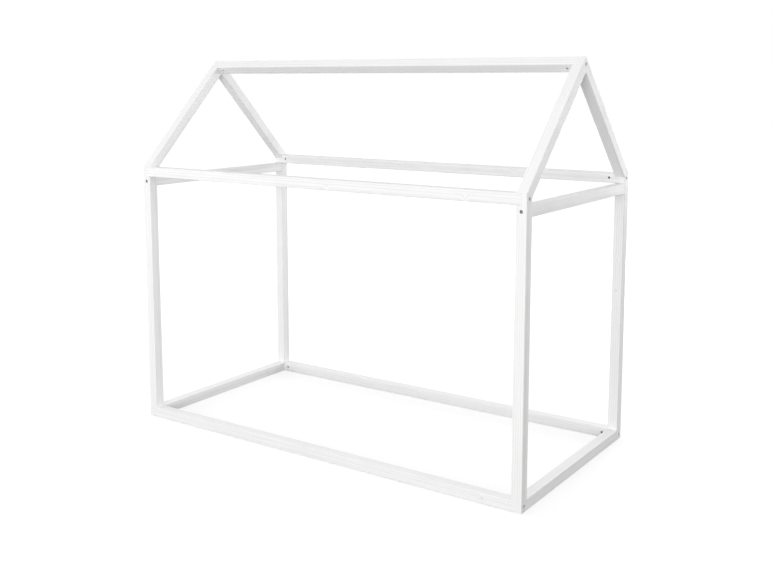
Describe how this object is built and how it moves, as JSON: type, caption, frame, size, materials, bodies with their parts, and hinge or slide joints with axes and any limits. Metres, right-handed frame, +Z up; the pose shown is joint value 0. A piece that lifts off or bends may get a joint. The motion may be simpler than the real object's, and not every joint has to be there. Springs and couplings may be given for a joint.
{
  "type": "house frame bed",
  "caption": "Child's floor bed frame in the shape of a house: white square timbers form a box with open sides under a pitched roof with a ridge beam set corner up.",
  "frame": {"origin": "on the floor under the middle of the bed", "axes": "+X along the bed to its right end, +Y from the front to the back, +Z up; the front is -Y"},
  "size_m": [1.99, 0.99, 1.7],
  "materials": {
    "painted_timber": "satin white paint over planed softwood",
    "bolt_steel": "zinc plated",
    "barrel_nut_steel": "zinc plated",
    "dowel_wood": "bare beech"
  },
  "bodies": {
    "root": {"apex_dowels": "dowel_wood", "long_bottom_rail_back": "painted_timber", "long_bottom_rail_barrel_nuts": "barrel_nut_steel", "long_bottom_rail_bolts": "bolt_steel", "long_bottom_rail_front": "painted_timber", "long_top_rail_back": "painted_timber", "long_top_rail_barrel_nuts": "barrel_nut_steel", "long_top_rail_bolts": "bolt_steel", "long_top_rail_front": "painted_timber", "mitre_dowels": "dowel_wood", "post_back_left": "painted_timber", "post_back_right": "painted_timber", "post_front_left": "painted_timber", "post_front_right": "painted_timber", "rafter_back_left": "painted_timber", "rafter_back_right": "painted_timber", "rafter_front_left": "painted_timber", "rafter_front_right": "painted_timber", "rafter_seat_dowels": "dowel_wood", "ridge_barrel_nuts": "barrel_nut_steel", "ridge_beam": "painted_timber", "ridge_bolts": "bolt_steel", "short_bottom_rail_dowels": "dowel_wood", "short_bottom_rail_left": "painted_timber", "short_bottom_rail_right": "painted_timber", "short_top_rail_barrel_nuts": "barrel_nut_steel", "short_top_rail_bolts": "bolt_steel", "short_top_rail_dowels": "dowel_wood", "short_top_rail_left": "painted_timber", "short_top_rail_right": "painted_timber"}
  },
  "joints": []
}
